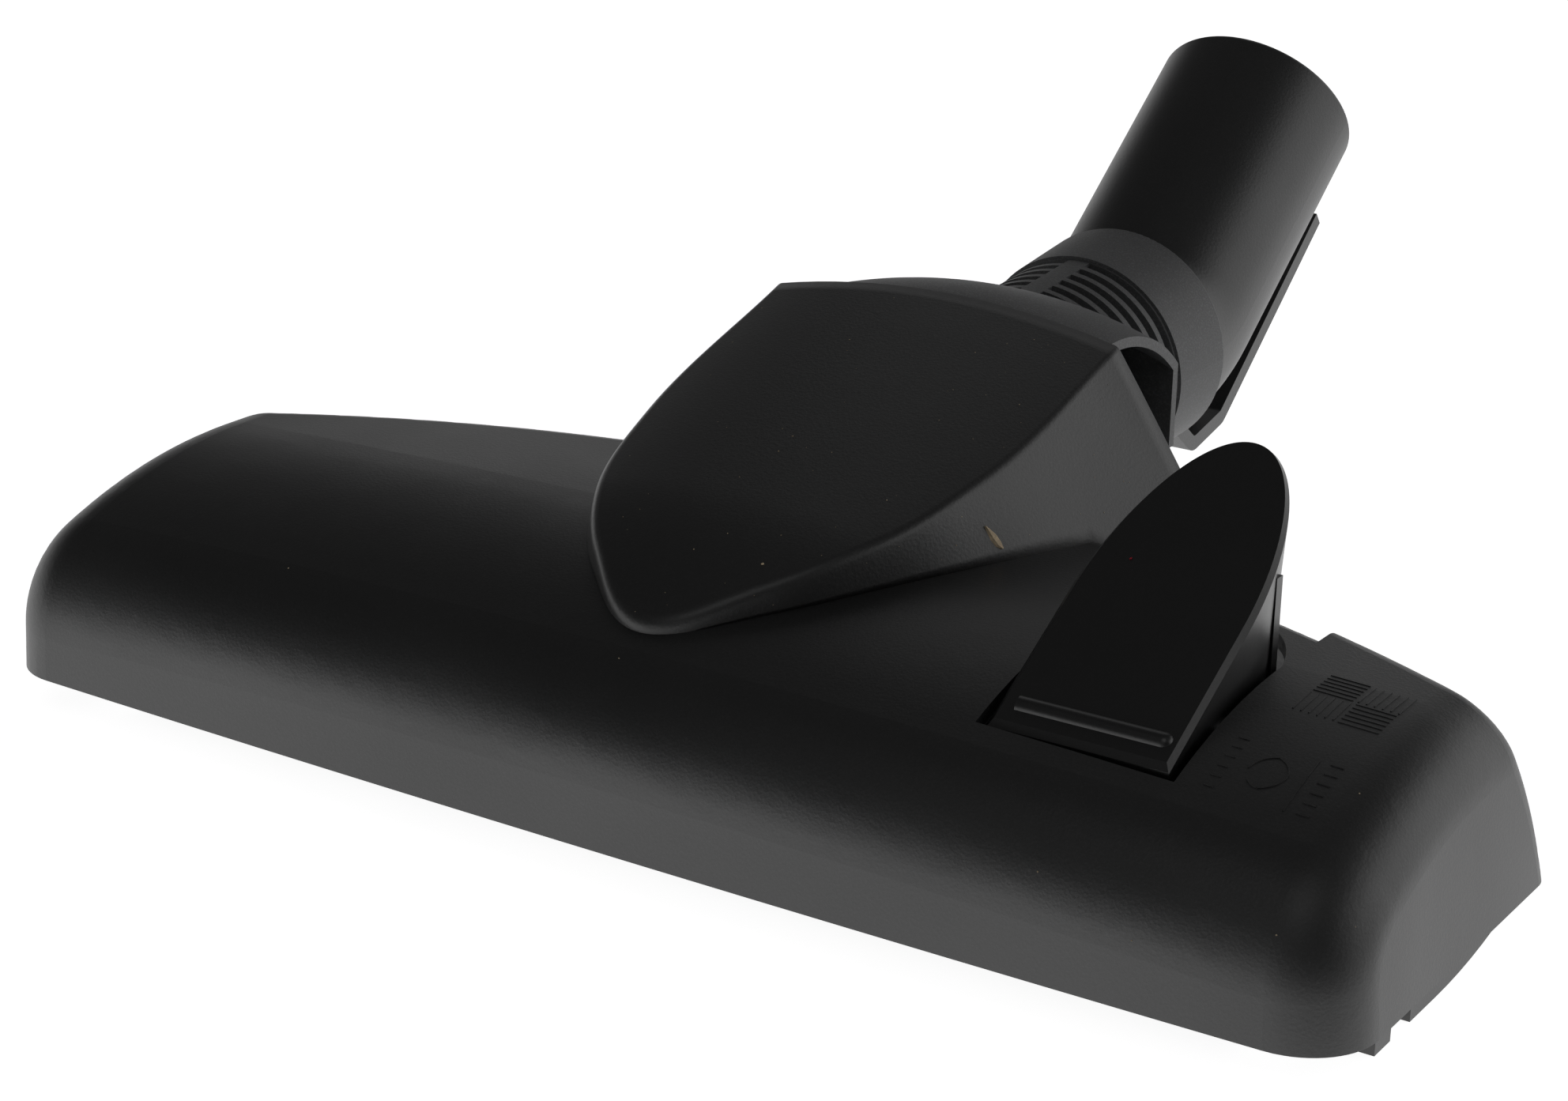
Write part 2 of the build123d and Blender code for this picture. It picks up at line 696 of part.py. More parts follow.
# Neck: drum and pins, slotted tube and collar
ring_face = Plane(ring_point, x_dir=(1, 0, 0), z_dir=-neck_dir)
neck_axis = Axis(ring_point, neck_dir)
with BuildPart() as neck:
    for radius, half in ((drum_radius, drum_half), (trunnion_radius, ear_outer)):
        with BuildSketch(Plane.YZ):
            with Locations((tilt_y, tilt_z)):
                Circle(radius)
        extrude(amount=half, both=True)
    with BuildSketch(ring_face):
        Circle(neck_radius)
    extrude(amount=neck_length)
    with BuildSketch(ring_face):
        Circle(collar_radius)
    with BuildSketch(ring_face.offset(collar_length)):
        Circle(collar_radius - collar_taper)
    loft()
    with BuildSketch(ring_face):
        Circle(neck_bore)
    extrude(amount=neck_length - drum_wall, mode=Mode.SUBTRACT)
    with BuildSketch(Plane.YZ):
        with Locations((tilt_y, tilt_z)):
            Circle(drum_radius - drum_wall)
    extrude(amount=drum_half - drum_wall, both=True, mode=Mode.SUBTRACT)
    with BuildSketch(ring_face):
        Circle(spigot_radius + running)
    extrude(amount=spigot_length + 2 * running, mode=Mode.SUBTRACT)
    with BuildSketch(ring_face.offset(ring_groove_at - running)):
        Circle(spigot_radius + running + ring_groove_depth)
    extrude(amount=ring_groove_width + 2 * running, mode=Mode.SUBTRACT)
    with BuildSketch(Plane.YZ):
        with BuildLine():
            window_in = CenterArc((tilt_y, tilt_z), drum_radius - 2 * drum_wall, window_start, window_arc)
            window_out = CenterArc((tilt_y, tilt_z), drum_radius + drum_wall, window_start, window_arc)
            Line(window_in @ 0, window_out @ 0)
            Line(window_in @ 1, window_out @ 1)
        make_face()
    extrude(amount=drum_half - 2 * drum_wall, both=True, mode=Mode.SUBTRACT)
    for start in (groove_spine, -groove_spine - groove_arc):
        turned = neck_up * cos(radians(start)) + Vector(1, 0, 0) * sin(radians(start))
        with BuildSketch(Plane(ring_point, x_dir=-neck_dir, z_dir=(-neck_dir).cross(turned))):
            spots = [(groove_start + groove_pitch * n, neck_radius) for n in range(groove_count)]
            with Locations(*spots):
                Rectangle(groove_width, 2 * groove_depth)
        revolve(axis=neck_axis, revolution_arc=groove_arc, mode=Mode.SUBTRACT)
    collar_rims = neck.edges().filter_by(GeomType.CIRCLE).filter_by(
        lambda e: abs(e.radius - collar_radius) < slip
    )
    fillet(collar_rims, collar_edge_round)
save(neck, "neck")

# Rear shell: barrel about the tilt axis, with a back wall round the neck
with BuildPart() as rear_shell:
    lean = radians(shell_rear_angle)
    with BuildSketch(Plane(tilt_point, x_dir=(1, 0, 0), z_dir=(0, -sin(lean), cos(lean)))):
        with BuildLine():
            edge = shell_radius - shell_crown
            outside = ThreePointArc((-shell_half, edge), (0, shell_radius), (shell_half, edge))
            inside = ThreePointArc(
                (-shell_half, edge - shell_wall),
                (0, shell_radius - shell_wall),
                (shell_half, edge - shell_wall),
            )
            Line(outside @ 0, inside @ 0)
            Line(outside @ 1, inside @ 1)
        make_face()
    revolve(axis=Axis(tilt_point, (1, 0, 0)), revolution_arc=shell_front_angle - shell_rear_angle)
    with BuildSketch(Plane.XZ.offset(-shell_rear_y)):
        back_run = shell_rear_y - tilt_y
        wall_mid = tilt_z + sqrt(shell_radius**2 - back_run**2) - slip
        wall_side = tilt_z + sqrt(edge**2 - back_run**2) - slip
        with BuildLine():
            brow = ThreePointArc((-shell_half, wall_side), (0, wall_mid), (shell_half, wall_side))
            Polyline(brow @ 1, (shell_half, shell_rear_low), (-shell_half, shell_rear_low), brow @ 0)
        make_face()
    extrude(amount=shell_wall)
    with BuildSketch(ring_face):
        Circle(neck_radius + slip)
    extrude(amount=neck_length, mode=Mode.SUBTRACT)
    block(across, (shell_rear_y, 2 * shell_rear_y), (0, 2 * cover_rear), Mode.SUBTRACT)
save(rear_shell, "rear_shell")

# Elbow: spigot, bend and socket tube
elbow_face = Plane(elbow_start, x_dir=(1, 0, 0), z_dir=neck_dir)
tube_face = Plane(tube_start, x_dir=(1, 0, 0), z_dir=tube_dir)
bend_axis = Axis(bend_centre, (1, 0, 0))
with BuildPart() as elbow_outer:
    with BuildSketch(elbow_face):
        Circle(tube_radius)
    revolve(axis=bend_axis, revolution_arc=tube_rise - neck_rise)
    with BuildSketch(tube_face):
        Circle(tube_radius)
    extrude(amount=tube_length)

with BuildPart() as elbow_tube:
    add(elbow_outer.part)
    with BuildSketch(elbow_face):
        Circle(spigot_radius)
    extrude(amount=-spigot_length - swivel_gap)
    for at, width in ((ring_groove_at, ring_groove_width), (seal_groove_at, seal_groove_width)):
        with BuildSketch(ring_face.offset(at)):
            Circle(spigot_radius + running)
            Circle(spigot_radius - ring_groove_depth, mode=Mode.SUBTRACT)
        extrude(amount=width, mode=Mode.SUBTRACT)
    with BuildSketch(elbow_face):
        Circle(elbow_bore)
    extrude(amount=-spigot_length - swivel_gap, mode=Mode.SUBTRACT)
    with BuildSketch(elbow_face):
        Circle(elbow_bore)
    revolve(axis=bend_axis, revolution_arc=tube_rise - neck_rise, mode=Mode.SUBTRACT)
    with BuildSketch(tube_face):
        Circle(elbow_bore)
    extrude(amount=tube_length, mode=Mode.SUBTRACT)
    with BuildSketch(tube_face.offset(tube_length)):
        Circle(tube_bore)
    extrude(amount=-socket_depth, mode=Mode.SUBTRACT)
    rims = elbow_tube.edges().filter_by(GeomType.CIRCLE).sort_by(Axis(rim_point, tube_dir))
    fillet(rims[-2:], tube_edge_round)
save(elbow_tube, "elbow_tube")

# Parking hook under the elbow
with BuildPart() as parking_hook:
    with BuildSketch(Plane.YZ):
        with BuildLine():
            FilletPolyline(*hook_line, radius=hook_bend)
        trace(line_width=hook_thickness)
    extrude(amount=hook_half, both=True)
    with BuildSketch(Plane.YZ):
        heel = hook_line[1]
        knee = hook_line[2]
        Polygon(heel, knee, (knee[0], tube_start.Z), (heel[0], tube_start.Z), align=None)
    extrude(amount=hook_web / 2, both=True)
    add(elbow_outer.part, mode=Mode.SUBTRACT)
save(parking_hook, "parking_hook")

# Split ring that holds the spigot, and the square seal in front of it
with BuildPart() as retaining_ring:
    with BuildSketch(ring_face.offset(ring_groove_at + slip)):
        Circle(spigot_radius + ring_groove_depth)
        Circle(spigot_radius - ring_groove_depth + slip, mode=Mode.SUBTRACT)
        with Locations((0, spigot_radius)):
            Rectangle(ring_groove_width * 2, ring_groove_width * 2, mode=Mode.SUBTRACT)
    extrude(amount=ring_groove_width - 2 * slip)
save(retaining_ring, "retaining_ring")

with BuildPart() as seal_ring:
    with BuildSketch(ring_face.offset(seal_groove_at + slip)):
        Circle(spigot_radius)
        Circle(spigot_radius - ring_groove_depth + slip, mode=Mode.SUBTRACT)
    extrude(amount=seal_groove_width - 2 * slip)
save(seal_ring, "seal_ring")

# Pedal: inclined tongue with a deep skirt, toe bead, cross web and axle holes
pedal_face = Plane(pedal_front_point, x_dir=(1, 0, 0), z_dir=pedal_up)
plan_straight = pedal_straight * pedal_dir.Y
plan_length = pedal_length * pedal_dir.Y
pedal_depth = pedal_length * pedal_dir.Z + pedal_front_z - pedal_foot_z
core_width = pedal_width - 2 * pedal_wall
core_straight = plan_straight - pedal_wall
with BuildPart() as pedal_core:
    with BuildSketch(Plane((pedal_x, pedal_front_y + pedal_wall, pedal_foot_z))):
        pedal_outline(core_width, core_straight, plan_length - pedal_lean - 2 * pedal_wall)
    with BuildSketch(Plane((pedal_x, pedal_front_y + pedal_wall, pedal_foot_z + pedal_depth))):
        pedal_outline(core_width, core_straight, plan_length - 2 * pedal_wall)
    loft()
    split(bisect_by=pedal_face.offset(-pedal_plate), keep=Keep.BOTTOM)

with BuildPart() as pedal:
    with BuildSketch(Plane((pedal_x, pedal_front_y, pedal_foot_z))):
        pedal_outline(pedal_width, plan_straight, plan_length - pedal_lean)
    with BuildSketch(Plane((pedal_x, pedal_front_y, pedal_foot_z + pedal_depth))):
        pedal_outline(pedal_width, plan_straight, plan_length)
    loft()
    split(bisect_by=pedal_face, keep=Keep.BOTTOM)
    chamfer(pedal.faces().sort_by(Axis(pedal_front_point, pedal_up))[-1].edges(), pedal_edge_round)
    add(pedal_core.part, mode=Mode.SUBTRACT)
    web_y = pivot.Y + cam_reach
    block(
        (pedal_x - pedal_width / 2 + pedal_wall / 2, pedal_x + pedal_width / 2 - pedal_wall / 2),
        (web_y - cam_web / 2, web_y + cam_web / 2),
        (pedal_foot_z, pedal_front_z + cam_reach),
    )
    with BuildSketch(Plane.YZ.offset(pedal_x)):
        with Locations((pivot.Y, pivot.Z)):
            Circle(pedal_axle_radius + pedal_wall)
    extrude(amount=(pedal_width - pedal_wall) / 2, both=True)
    with BuildSketch(Plane.YZ.offset(pedal_x)):
        with Locations((pivot.Y, pivot.Z)):
            Circle(pedal_axle_radius + shaft_play)
    extrude(amount=pedal_width, both=True, mode=Mode.SUBTRACT)
    bead_point = pedal_front_point + pedal_dir * bead_back - pedal_up * bead_radius / 2
    with BuildSketch(Plane.YZ.offset(pedal_x)):
        with Locations((bead_point.Y, bead_point.Z)):
            Circle(bead_radius)
    extrude(amount=pedal_width / 2 - bead_inset, both=True)
    with Locations((pedal_x + pedal_width / 2 - bead_inset, bead_point.Y, bead_point.Z)):
        Sphere(bead_radius)
save(pedal, "pedal")

# Axle and detent leaf of the pedal
with BuildPart() as pedal_axle:
    with BuildSketch(Plane.YZ.offset(recess_left - cheek)):
        with Locations((pivot.Y, pivot.Z)):
            Circle(pedal_axle_radius)
    extrude(amount=recess_right - recess_left + 2 * cheek)
save(pedal_axle, "pedal_axle")

with BuildPart() as detent_spring:
    block(
        detent_x,
        (detent_y[1], detent_y[1] + leaf),
        (detent_low, detent_low + detent_height),
    )
save(detent_spring, "detent_spring")

# Brush frame: two rails, ties over the channel and a post under the pedal's web
post_top = pedal_foot_z - cam_gap
with BuildPart() as brush_frame:
    rails_x = (-frame_half, frame_half)
    block(rails_x, front_rail, (frame_low, frame_high))
    block(rails_x, rear_rail, (frame_low, frame_high))
    for x in tie_at:
        for side in (-1, 1):
            tie_x = (side * x - tie_width / 2, side * x + tie_width / 2)
            block(tie_x, (front_rail[1], rear_rail[0]), (tie_low, frame_high))
    post_y = (web_y - post_depth / 2, web_y + post_depth / 2)
    block((pedal_x - post_half, pedal_x + post_half), post_y, (tie_low, post_top))
    at_floor(0, guide_spots, guide_radius + running, 2 * frame_high, Mode.SUBTRACT)
save(brush_frame, "brush_frame")

# Bristle strips: a base bar and a row of tufts
for y, name in ((front_bristle_y, "bristle_strip_front"), (rear_bristle_y, "bristle_strip_rear")):
    with BuildPart() as bristle_strip:
        base_y = (y - bristle_base_half, y + bristle_base_half)
        block((-bristle_half, bristle_half), base_y, (frame_low - bristle_base, frame_low))
        with BuildSketch(Plane.XY.offset(bristle_tip_z)):
            with Locations((0, y)):
                with GridLocations(2 * (bristle_half - tuft_radius) / (tuft_count - 1), 1, tuft_count, 1):
                    RegularPolygon(tuft_radius, 6)
        extrude(amount=frame_low - bristle_base - bristle_tip_z)
    save(bristle_strip, name)

with BuildPart() as rubber_lip:
    lip_x = (-bristle_half, bristle_half)
    block(lip_x, (lip_y - lip_half, lip_y + lip_half), (bristle_tip_z + lip_lift, frame_low))
save(rubber_lip, "rubber_lip")

# Leaf springs that lift the brush frame, fabric thread lifters, rear wheels and their axles
for side, word in ((-1, "left"), (1, "right")):
    with BuildPart() as lift_spring:
        with BuildSketch(Plane.XZ.offset(-lift_front)):
            foot_z = sole_thickness + leaf / 2
            middle_x = side * tie_at[1]
            with BuildLine():
                ThreePointArc(
                    (middle_x - lift_half, foot_z),
                    (middle_x, tie_low - leaf / 2),
                    (middle_x + lift_half, foot_z),
                )
            trace(line_width=leaf)
        extrude(amount=-lift_depth)
        block((-hood_half, hood_half), (-hood_half, hood_half), (-hood_top, sole_thickness), Mode.SUBTRACT)
    save(lift_spring, f"lift_spring_{word}")

    with BuildPart() as thread_lifter:
        lifter_x = (side * lifter_at - lifter_half + slip, side * lifter_at + lifter_half - slip)
        block(lifter_x, (lifter_rear - lifter_width + slip, lifter_rear - slip), (0, lifter_depth))
    save(thread_lifter, f"thread_lifter_{word}")

    wheel_inside = ear_outer + wheel_side_gap
    wheel_outside = wheel_inside + wheel_width
    with BuildPart() as rear_wheel:
        with BuildSketch(Plane.YZ.offset(side * wheel_inside)):
            with Locations((wheel_y, wheel_radius)):
                Circle(wheel_radius)
                Circle(wheel_axle_radius + shaft_play, mode=Mode.SUBTRACT)
        extrude(amount=side * wheel_width)
        chamfer(rear_wheel.edges().filter_by(GeomType.CIRCLE).sort_by(SortBy.RADIUS)[-2:], wheel_edge)
    save(rear_wheel, f"rear_wheel_{word}")

    with BuildPart() as wheel_axle:
        with BuildSketch(Plane.YZ.offset(side * ear_inner)):
            with Locations((wheel_y, wheel_radius)):
                Circle(wheel_axle_radius)
        extrude(amount=side * (wheel_outside + wheel_side_gap - ear_inner))
        with BuildSketch(Plane.YZ.offset(side * (wheel_outside + wheel_side_gap))):
            with Locations((wheel_y, wheel_radius)):
                Circle(axle_head_radius)
        extrude(amount=side * axle_head)
    save(wheel_axle, f"wheel_axle_{word}")
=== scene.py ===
# Looks of a vacuum floor brush head: finishes, small details, camera and light
import json
import math
import random

import bmesh
import bpy
from mathutils import Matrix, Vector
from mathutils.bvhtree import BVHTree


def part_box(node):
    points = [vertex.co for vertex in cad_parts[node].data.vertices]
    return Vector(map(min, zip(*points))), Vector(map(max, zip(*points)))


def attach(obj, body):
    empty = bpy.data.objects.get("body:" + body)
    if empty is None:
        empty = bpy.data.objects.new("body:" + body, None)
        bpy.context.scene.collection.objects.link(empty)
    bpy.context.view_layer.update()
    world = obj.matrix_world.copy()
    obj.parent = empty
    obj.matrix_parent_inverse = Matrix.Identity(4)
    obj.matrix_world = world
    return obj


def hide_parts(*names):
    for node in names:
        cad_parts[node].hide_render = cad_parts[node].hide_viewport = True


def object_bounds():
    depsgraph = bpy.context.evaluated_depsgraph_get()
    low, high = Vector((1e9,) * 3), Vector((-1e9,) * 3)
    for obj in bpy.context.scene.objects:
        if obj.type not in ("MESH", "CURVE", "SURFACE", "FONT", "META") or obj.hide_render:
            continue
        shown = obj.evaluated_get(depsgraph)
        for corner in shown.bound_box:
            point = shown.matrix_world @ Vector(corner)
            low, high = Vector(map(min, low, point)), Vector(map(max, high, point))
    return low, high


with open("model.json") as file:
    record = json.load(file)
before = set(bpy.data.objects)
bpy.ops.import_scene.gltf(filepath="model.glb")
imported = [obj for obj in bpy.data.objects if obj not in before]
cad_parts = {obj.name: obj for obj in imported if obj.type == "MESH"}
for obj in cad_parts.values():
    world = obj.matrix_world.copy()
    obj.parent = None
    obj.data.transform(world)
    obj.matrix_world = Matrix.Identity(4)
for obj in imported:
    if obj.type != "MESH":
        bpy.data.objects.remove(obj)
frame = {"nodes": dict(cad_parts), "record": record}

nodes = frame["nodes"]
for extra in ("Cube", "Light", "Camera"):
    if extra in bpy.data.objects:
        bpy.data.objects.remove(bpy.data.objects[extra])
scene = bpy.context.scene
cad_low, cad_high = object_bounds()
chance = random.Random(7)
mm = 0.001

# Camera, as the photo was taken: direction, distance and lens in photo pixels
photo_wide = 1984
photo_high = 1393
photo_focal = 4134.13
sensor_wide = 36.0
azimuth = math.radians(32.95)
elevation = math.radians(19.66)
roll = math.radians(1.08)
aim = Vector((0.01013, 0.0, 0.04612))
distance = 0.51529

forward = Vector((-math.sin(azimuth) * math.cos(elevation),
                  math.cos(azimuth) * math.cos(elevation),
                  -math.sin(elevation)))
level_right = Vector((math.cos(azimuth), math.sin(azimuth), 0.0))
level_up = level_right.cross(forward)
cam_right = math.cos(roll) * level_right + math.sin(roll) * level_up
cam_up = math.cos(roll) * level_up - math.sin(roll) * level_right
cam_place = aim - distance * forward

camera = bpy.data.cameras.new("photo_camera")
camera.sensor_fit = "HORIZONTAL"
camera.sensor_width = sensor_wide
camera.lens = photo_focal / photo_wide * sensor_wide
camera.clip_start = 0.01
camera.clip_end = 50.0
camera_object = bpy.data.objects.new("photo_camera", camera)
scene.collection.objects.link(camera_object)
turn = Matrix((cam_right, cam_up, -forward)).transposed().to_4x4()
camera_object.matrix_world = Matrix.Translation(cam_place) @ turn
scene.camera = camera_object


# Node graph helper: makes nodes, sets their values and links them
class Graph:
    def __init__(self, tree):
        self.tree = tree
        self.tree.nodes.clear()

    def add(self, kind, inputs=None, **settings):
        node = self.tree.nodes.new(kind)
        for key, value in settings.items():
            setattr(node, key, value)
        for key, value in (inputs or {}).items():
            node.inputs[key].default_value = value
        return node

    def link(self, source, target):
        self.tree.links.new(source, target)

    def ramp(self, source, low, high, to_low, to_high):
        scale = self.add("ShaderNodeMapRange", {"From Min": low, "From Max": high,
                                                "To Min": to_low, "To Max": to_high})
        self.link(source, scale.inputs["Value"])
        return scale.outputs["Result"]

    def maths(self, operation, first, second):
        node = self.add("ShaderNodeMath", operation=operation)
        for place, value in enumerate((first, second)):
            if isinstance(value, (int, float)):
                node.inputs[place].default_value = value
            else:
                self.link(value, node.inputs[place])
        return node.outputs["Value"]

    def mix(self, factor, first, second):
        node = self.add("ShaderNodeMix", data_type="RGBA")
        self.link(factor, node.inputs["Factor"])
        for socket, value in ((node.inputs[6], first), (node.inputs[7], second)):
            if isinstance(value, tuple):
                socket.default_value = value
            else:
                self.link(value, socket)
        return node.outputs[2]


def shade(level, tint):
    return (level * tint[0], level * tint[1], level * tint[2], 1.0)


def new_graph(name):
    material = bpy.data.materials.new(name)
    material.use_nodes = True
    return material, Graph(material.node_tree)


# Colour casts
white = (1.0, 1.0, 1.0)
neutral = (0.99, 1.0, 1.02)
straw = (1.25, 1.0, 0.68)
crimson = (1.0, 0.03, 0.08)

# Moulded plastic: fine eroded grain, slow mottling, uneven gloss and sparse dust
bump_depth = 0.04 * mm
pit_scale = 0.55
pit_share = 0.7
mottle_scale = 38.0
mottle_dark = 0.86
mottle_light = 1.14
rub_scale = 14.0
rub_change = 0.04
noise_low = 0.3
noise_high = 0.7
grain_low = 0.48
grain_high = 0.72
grain_pale = 2.6
grain_limit = 0.9
grain_share = 0.6
dust_scale = 260.0
dust_rare = 0.986
dust_core = 0.02
dust_edge = 0.05
dust_level = 0.45


def moulded(name, level, rough, grain, grain_scale=3000.0, dust=0.5, tint=neutral, gloss=1.0, metal=0.0):
    material, graph = new_graph(name)
    place = graph.add("ShaderNodeTexCoord").outputs["Object"]
    fine = graph.add("ShaderNodeTexNoise", {"Scale": grain_scale, "Detail": 3.0, "Roughness": 0.6})
    pits = graph.add("ShaderNodeTexVoronoi", {"Scale": grain_scale * pit_scale})
    slow = graph.add("ShaderNodeTexNoise", {"Scale": mottle_scale, "Detail": 5.0, "Roughness": 0.65})
    rubbed = graph.add("ShaderNodeTexNoise", {"Scale": rub_scale, "Detail": 2.0, "Distortion": 0.8})
    specks = graph.add("ShaderNodeTexVoronoi", {"Scale": dust_scale})
    for texture in (fine, pits, slow, rubbed, specks):
        graph.link(place, texture.inputs["Vector"])
    pitted = graph.maths("MULTIPLY", pits.outputs["Distance"], pit_share)
    height = graph.maths("ADD", fine.outputs["Fac"], pitted)
    bump = graph.add("ShaderNodeBump", {"Strength": grain, "Distance": bump_depth})
    graph.link(height, bump.inputs["Height"])
    body = graph.mix(graph.ramp(slow.outputs["Fac"], noise_low, noise_high, 0.0, 1.0),
                     shade(level * mottle_dark, tint), shade(level * mottle_light, tint))
    pale = graph.ramp(fine.outputs["Fac"], grain_low, grain_high, 0.0, grain_share)
    grained = graph.mix(pale, body, shade(min(level * grain_pale, grain_limit), tint))
    chosen = graph.add("ShaderNodeSeparateColor")
    graph.link(specks.outputs["Color"], chosen.inputs["Color"])
    rare = graph.maths("GREATER_THAN", chosen.outputs["Red"], dust_rare)
    near = graph.ramp(specks.outputs["Distance"], dust_core, dust_edge, dust, 0.0)
    dusted = graph.mix(graph.maths("MULTIPLY", rare, near), grained, shade(dust_level, straw))
    shader = graph.add("ShaderNodeBsdfPrincipled", {"IOR": 1.5, "Specular IOR Level": gloss,
                                                    "Metallic": metal})
    uneven = graph.ramp(rubbed.outputs["Fac"], noise_low, noise_high, rough - rub_change, rough + rub_change)
    graph.link(dusted, shader.inputs["Base Color"])
    graph.link(uneven, shader.inputs["Roughness"])
    graph.link(bump.outputs["Normal"], shader.inputs["Normal"])
    out = graph.add("ShaderNodeOutputMaterial")
    graph.link(shader.outputs["BSDF"], out.inputs["Surface"])
    return material


shell_plastic = moulded("shell_plastic", 0.013, 0.44, 0.6)
# Painted light: the same black plastic with its colour raised, so the neck and rear shell look as lit as in
# the light that falls on them
neck_painted_light_plastic = moulded("neck_painted_light_plastic", 0.085, 0.6, 0.6)
pedal_plastic = moulded("pedal_plastic", 0.008, 0.33, 0.18)
sole_plastic = moulded("sole_plastic", 0.011, 0.45, 0.4)
ring_plastic = moulded("ring_plastic", 0.025, 0.5, 0.3)
wheel_plastic = moulded("wheel_plastic", 0.018, 0.5, 0.3)
felt = moulded("felt", 0.05, 0.95, 1.0, 1400.0, gloss=0.2)
lifter_fabric = moulded("lifter_fabric", 0.06, 0.95, 1.0, 1600.0, gloss=0.2)
bristle = moulded("bristle", 0.02, 0.45, 0.2, 2600.0)
soft_rubber = moulded("soft_rubber", 0.016, 0.6, 0.3)
steel = moulded("steel", 0.45, 0.32, 0.25, dust=0.1, metal=1.0)
splinter_wood = moulded("splinter_wood", 0.6, 0.8, 0.6, 1500.0, dust=0.0, tint=straw, gloss=0.3)
lint = moulded("lint", 0.7, 0.9, 0.5, dust=0.0, tint=straw, gloss=0.3)
red_fleck = moulded("red_fleck", 0.55, 0.6, 0.3, dust=0.0, tint=crimson, gloss=0.3)

# Each node gets its slot's finish, and the neck and its shell a drier copy of the same black plastic,
# painted paler as painted light
finishes = {"shell_plastic": shell_plastic, "pedal_plastic": pedal_plastic, "sole_plastic": sole_plastic,
            "ring_plastic": ring_plastic, "wheel_plastic": wheel_plastic, "felt": felt,
            "lifter_fabric": lifter_fabric, "bristle": bristle, "soft_rubber": soft_rubber, "steel": steel}
for subpart in frame["record"]["subparts"]:
    mesh = nodes[subpart["node"]].data
    mesh.materials.clear()
    mesh.materials.append(finishes[subpart["material_slot"]])
for name in ("neck", "rear_shell"):
    nodes[name].data.materials[0] = neck_painted_light_plastic


# New pieces: made from a bmesh, linked, painted and tied to a body
def piece_from(name, shape, material, body, smooth=True):
    mesh = bpy.data.meshes.new(name)
    shape.normal_update()
    shape.to_mesh(mesh)
    shape.free()
    for face in mesh.polygons:
        face.use_smooth = smooth
    mesh.materials.append(material)
    piece = bpy.data.objects.new(name, mesh)
    scene.collection.objects.link(piece)
    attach(piece, body)
    return piece


def join_rings(shape, rings, closed):
    """Faces between rings of points, each ring open or closed."""
    count = len(rings[0])
    for before, after in zip(rings, rings[1:]):
        for place in range(count if closed else count - 1):
            other = (place + 1) % count
            shape.faces.new((before[place], before[other], after[other], after[place]))


# Surfaces to place things on
def tree_of(mesh):
    return BVHTree.FromPolygons([v.co for v in mesh.vertices], [p.vertices for p in mesh.polygons])


hood_tree = tree_of(nodes["hood"].data)
pedal_tree = tree_of(nodes["pedal"].data)
ray_top = 0.2


def seen_at(px, py, tree):
    """Point and outward normal of a surface under a photo pixel."""
    ray = forward * photo_focal + cam_right * (px - photo_wide / 2) + cam_up * (photo_high / 2 - py)
    point, normal, _, _ = tree.ray_cast(cam_place, ray.normalized())
    if point is None:
        return None, None
    if normal.dot(ray) > 0:
        normal = -normal
    return point, normal


def below(x, y, tree):
    """Point and normal of a surface straight below a place given in millimetres."""
    point, normal, _, _ = tree.ray_cast(Vector((x * mm, y * mm, ray_top)), Vector((0, 0, -1)))
    if point is None:
        return None, None
    return point, normal if normal.z > 0 else -normal


# Joint cover in millimetres: flared walls, a crowned top, a crisp crease and a round nose
cover_nose = Vector((0.0, -25.0))
cover_foot = [Vector(place) for place in ((16.2, -14.5), (28.8, 0.0), (39.3, 22.0), (54.0, 68.0))]
cover_head = [Vector(place) for place in ((14.5, -13.5), (20.0, 1.0), (24.6, 24.0), (31.5, 68.0))]
cover_root_z = 28.0
cover_foot_z = 39.5
cover_head_z = 73.5
cover_skirt_z = 34.0
cover_bulge = 0.5
cover_rear = 64.8
cover_rear_top = 72.5
cover_slope = 0.304
cover_bend = 2.0
cover_dip = 5.4
cover_crown = 150.0
cover_wall = 1.5
cover_weld = 0.01
nose_heading = Vector((1.0, 0.0))
rear_heading = Vector((0.3, 1.0)).normalized()
crease_round = 0.7
crease_round_nose = 1.5
spine_start = 9.0
span_steps = (16, 10, 10, 14)
wall_steps = 6
crease_steps = 4
top_steps = 9
rear_tries = 20
settle_tries = 14


def top_z(x, y):
    """Height of the cover's crowned top, which dips to its nose."""
    ahead = max(cover_bend - y, 0.0) / (cover_bend - cover_nose.y)
    ridge = cover_rear_top - (cover_rear - y) * cover_slope - cover_dip * ahead ** 2
    return ridge - x ** 2 / (2 * cover_crown)


def wall_point(span, share, z):
    """Point of the cover's right wall: a smooth plan curve at one height."""
    rise = (z - cover_foot_z) / (cover_head_z - cover_foot_z)
    level = (z - cover_root_z) / (cover_head_z - cover_root_z)
    swell = Vector((cover_bulge * 4 * level * (1 - level), 0.0))
    knots = [cover_nose] + [f + (h - f) * rise + swell for f, h in zip(cover_foot, cover_head)]
    runs = [(after - before).length for before, after in zip(knots, knots[1:])]
    headings = [nose_heading]
    for place in range(1, len(knots) - 1):
        back = (knots[place] - knots[place - 1]) / runs[place - 1]
        on = (knots[place + 1] - knots[place]) / runs[place]
        headings.append((back * runs[place] + on * runs[place - 1]) / (runs[place] + runs[place - 1]))
    headings.append(rear_heading)
    start, end, run = knots[span], knots[span + 1], runs[span]
    lift = share * share * (3 - 2 * share)
    leave = share * (1 - share) ** 2
    arrive = share * share * (share - 1)
    plan = start + (end - start) * lift + headings[span] * run * leave + headings[span + 1] * run * arrive
    return Vector((plan.x, plan.y, z))


